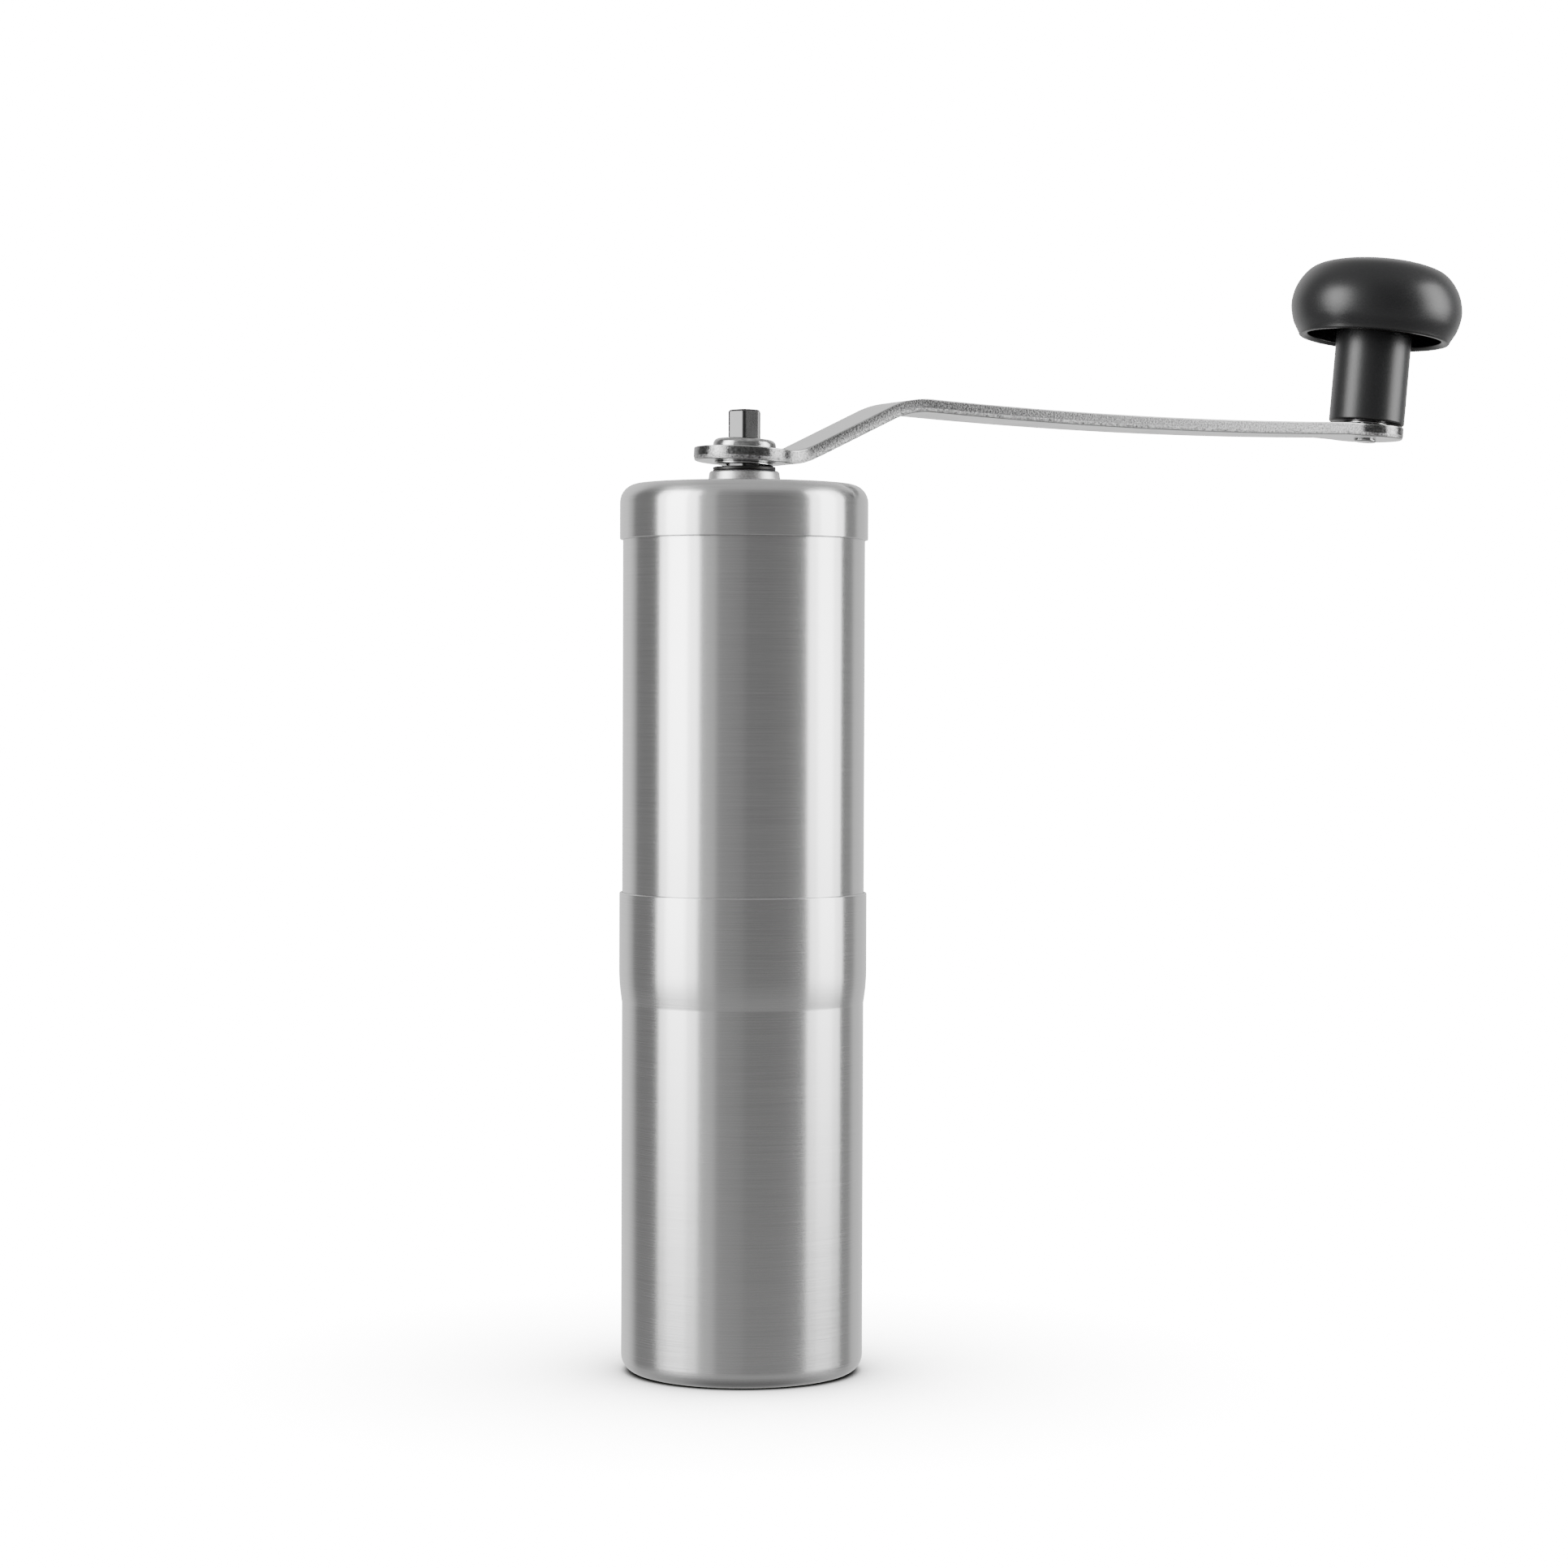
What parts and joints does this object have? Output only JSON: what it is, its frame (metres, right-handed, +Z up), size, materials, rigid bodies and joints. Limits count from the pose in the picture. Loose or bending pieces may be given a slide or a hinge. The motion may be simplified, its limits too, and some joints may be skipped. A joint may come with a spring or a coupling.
{
  "type": "hand crank coffee grinder",
  "caption": "Slim stainless hand coffee grinder: cup, barrel and lid with conical burrs inside, and a bent crank handle with a dark mushroom knob.",
  "frame": {"origin": "centre of the flat underside of the cup, on the shaft's axis", "axes": "+Z up along the shaft, +X from the shaft towards the knob"},
  "size_m": [0.193, 0.0482, 0.2242],
  "materials": {
    "brushed_stainless": "satin",
    "plated_steel": "polished",
    "bright_steel": "polished",
    "satin_metal": "satin",
    "bronze": "satin",
    "black_plastic": "matte",
    "charcoal_plastic": "satin"
  },
  "bodies": {
    "cup": {"cup_shell": "brushed_stainless"},
    "barrel": {"barrel_tube": "brushed_stainless", "burr_housing": "black_plastic", "outer_burr": "bright_steel", "burr_retainer": "black_plastic", "lower_bush": "bronze", "upper_bush": "bronze"},
    "shaft": {"shaft": "bright_steel", "upper_washer": "bright_steel", "lower_washer": "bright_steel", "burr_spring": "bright_steel"},
    "inner_burr": {"inner_burr": "bright_steel", "burr_carrier": "black_plastic"},
    "adjuster": {"adjuster_wheel": "black_plastic", "adjuster_nut": "bronze"},
    "lid": {"lid_shell": "brushed_stainless", "lid_liner": "black_plastic", "lid_ferrule": "satin_metal", "lid_clip": "bright_steel", "lid_bush": "black_plastic"},
    "thrust_ring": {"thrust_ring": "black_plastic"},
    "handle": {"crank_arm": "plated_steel", "drive_hub": "plated_steel", "knob_pin": "plated_steel", "pin_washer": "bright_steel", "pin_clip": "bright_steel"},
    "knob": {"knob_sleeve": "charcoal_plastic", "knob_cap": "charcoal_plastic"}
  },
  "joints": [
    {"name": "barrel_lift", "type": "slide", "parent": "cup", "child": "barrel", "axis": [0, 0, 1], "range_m": [0, 0.022]},
    {"name": "lid_lift", "type": "slide", "parent": "barrel", "child": "lid", "axis": [0, 0, 1], "range_m": [0, 0.03]},
    {"name": "handle_turn", "type": "hinge", "parent": "lid", "child": "thrust_ring", "pos_m": [0, 0, 0.1743], "axis": [0, 0, 1], "continuous": true},
    {"name": "handle_lift", "type": "slide", "parent": "thrust_ring", "child": "handle", "axis": [0, 0, 1], "range_m": [0, 0.02]},
    {"name": "knob_spin", "type": "hinge", "parent": "handle", "child": "knob", "pos_m": [0.14846, 0, 0.18862], "axis": [0.1002, 0, 0.995], "continuous": true},
    {"name": "crank_turn", "type": "hinge", "parent": "barrel", "child": "shaft", "pos_m": [0, 0, 0.12], "axis": [0, 0, 1], "continuous": true},
    {"name": "burr_gap", "type": "slide", "parent": "shaft", "child": "inner_burr", "axis": [0, 0, -1], "range_m": [0, 0.0012], "deforming": ["burr_spring"]},
    {"name": "adjust_turn", "type": "hinge", "parent": "inner_burr", "child": "adjuster", "pos_m": [0, 0, 0.081], "axis": [0, 0, 1], "range_deg": [0, 540]}
  ],
  "couplings": [
    {"joint": "crank_turn", "follows": "handle_turn", "ratio": 1},
    {"joint": "adjust_turn", "follows": "burr_gap", "rad_per_m": 7854}
  ]
}
